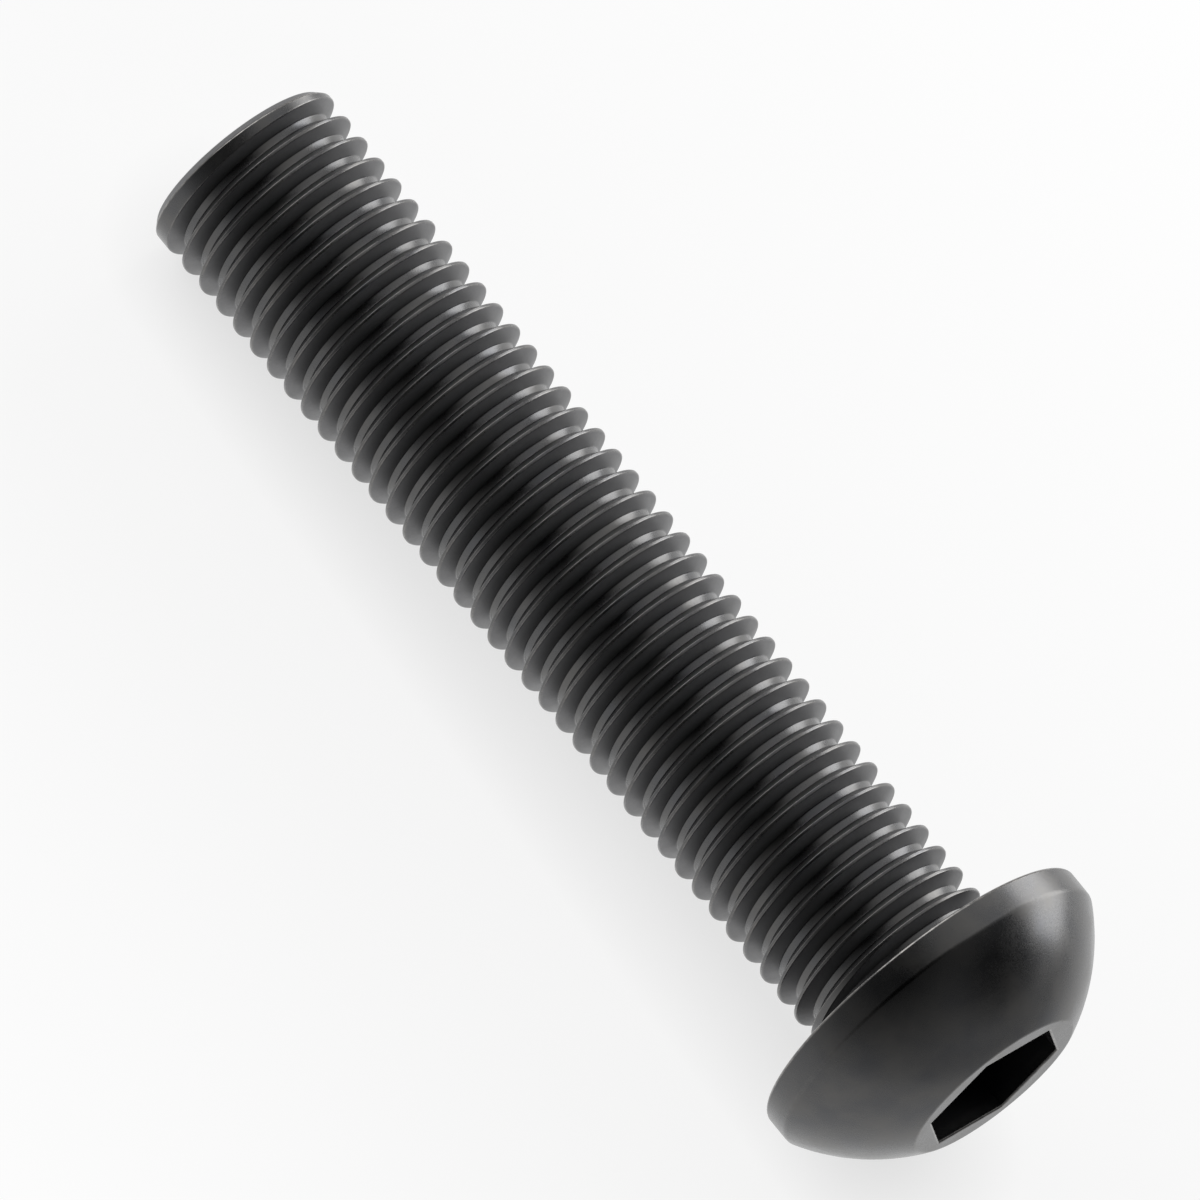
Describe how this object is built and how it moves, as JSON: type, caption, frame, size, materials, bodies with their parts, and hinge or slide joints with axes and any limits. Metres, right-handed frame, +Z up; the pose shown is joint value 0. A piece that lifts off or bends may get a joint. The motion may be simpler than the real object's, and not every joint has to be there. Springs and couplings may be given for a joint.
{
  "type": "button head screw",
  "caption": "Metric button head screw: a low domed head with a hexagon socket, on a cylindrical shank threaded along its whole length up to the head.",
  "frame": {"origin": "on the surface the screw lies on, below the middle of its outline", "axes": "+Z up, +X towards the head; the screw's own axis rises 4.3 degrees towards the head, because it lies on the head's rim and on the far end of its thread"},
  "size_m": [0.0672, 0.021, 0.0211],
  "materials": {
    "black_oxide_steel": "black oxide on forged and rolled steel, lightly oiled, satin"
  },
  "bodies": {
    "root": {"button_head_screw": "black_oxide_steel"}
  },
  "joints": []
}
